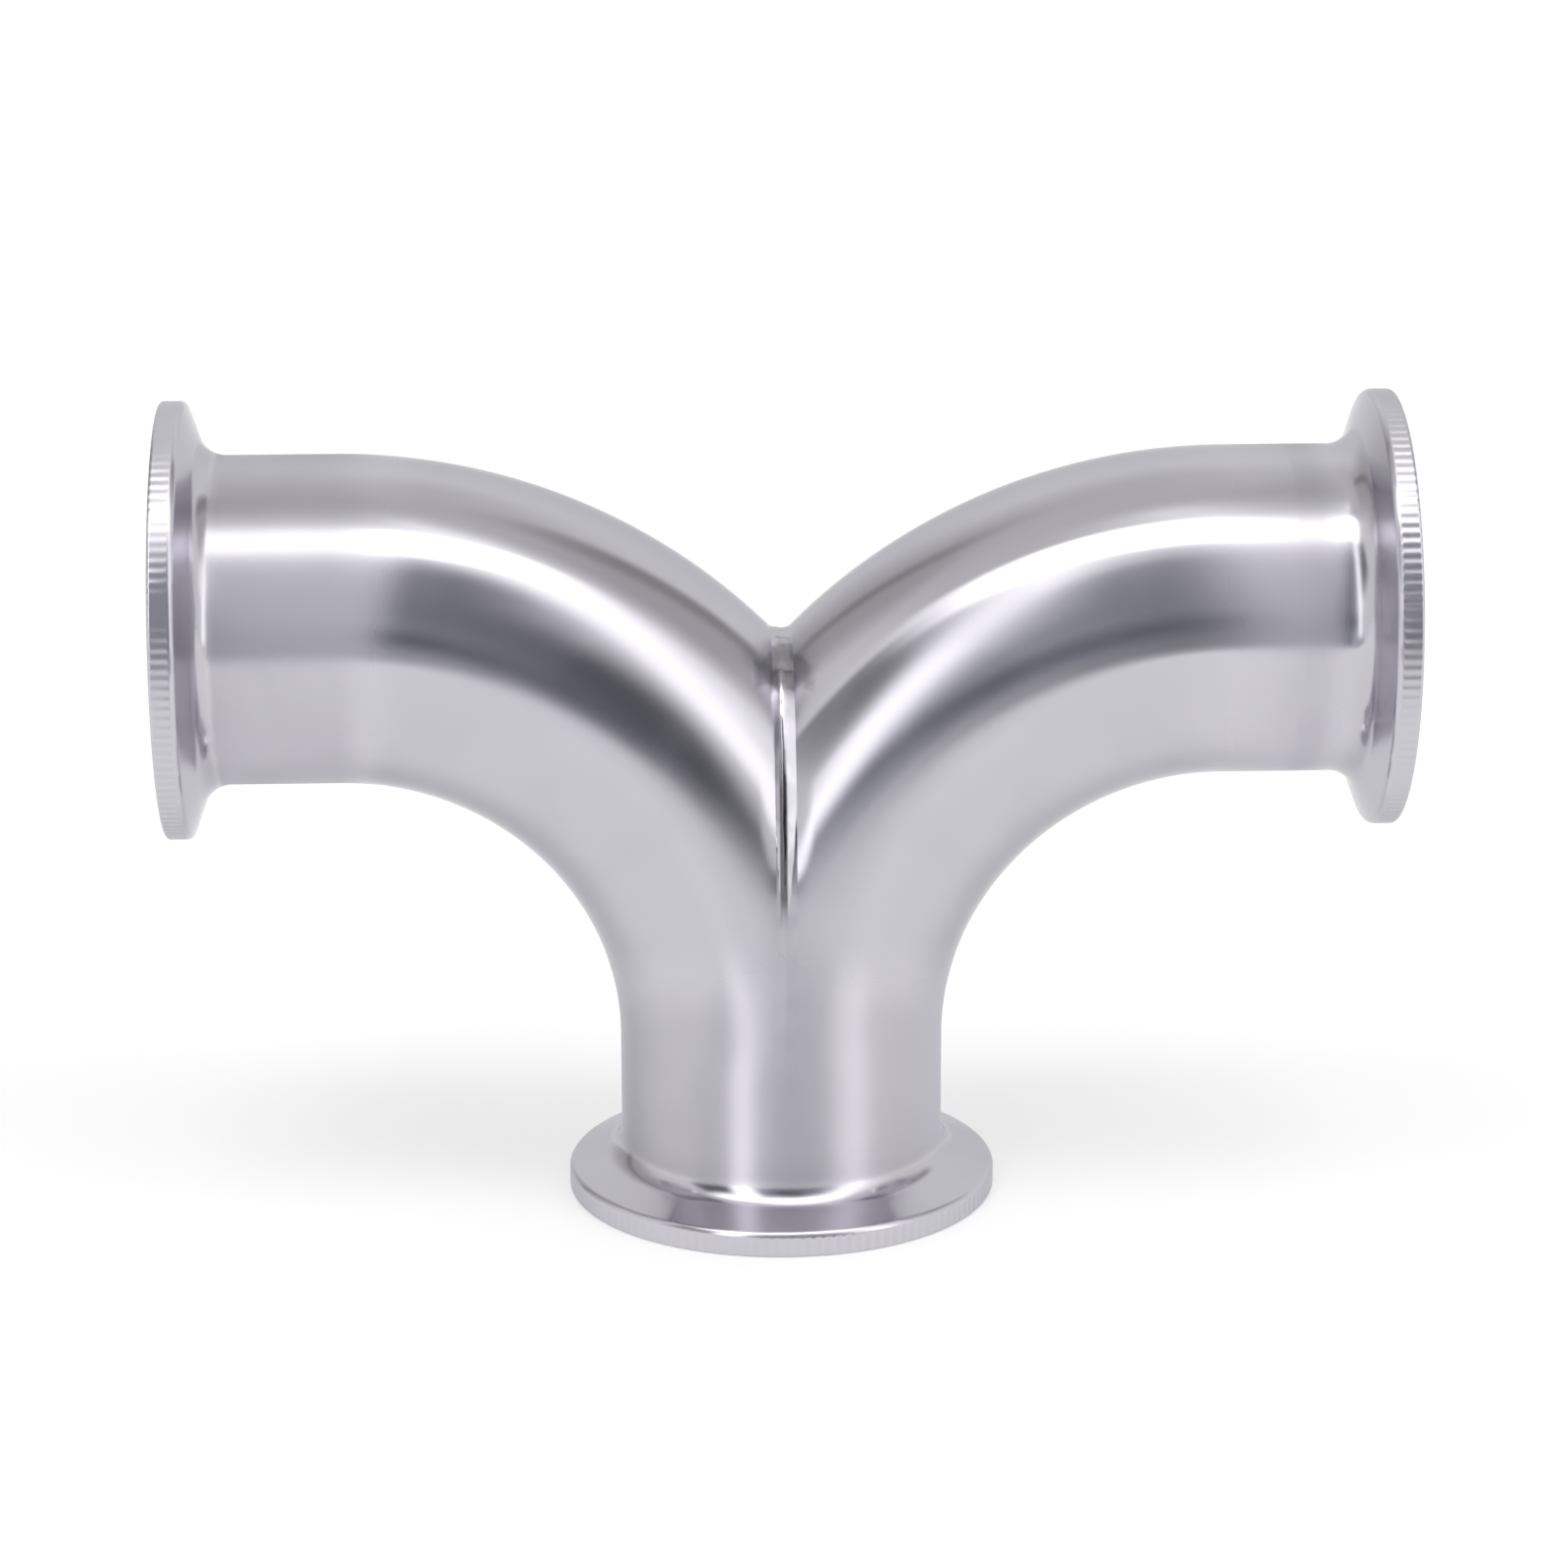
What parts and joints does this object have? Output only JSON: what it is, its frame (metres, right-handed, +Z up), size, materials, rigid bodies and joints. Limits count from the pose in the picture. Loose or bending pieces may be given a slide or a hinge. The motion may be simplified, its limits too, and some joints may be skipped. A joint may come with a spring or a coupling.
{
  "type": "sanitary clamp wye",
  "caption": "Stainless sanitary wye: mitred elbows seam-welded into a common stub, with a turned clamp ferrule welded on each port.",
  "frame": {"origin": "centre of the bottom ferrule's sealing face, which the fitting stands on", "axes": "+Z up along the stub, +X and -X out along the two arms, +Y towards the back"},
  "size_m": [0.142, 0.0506, 0.0953],
  "materials": {
    "polished_tube": "satin polished stainless steel tube",
    "turned_ferrule": "turned and polished stainless steel",
    "weld_bead": "dressed stainless weld bead"
  },
  "bodies": {
    "root": {"left_elbow": "polished_tube", "right_elbow": "polished_tube", "seam_weld": "weld_bead", "left_ferrule": "turned_ferrule", "right_ferrule": "turned_ferrule", "bottom_ferrule": "turned_ferrule"}
  },
  "joints": []
}
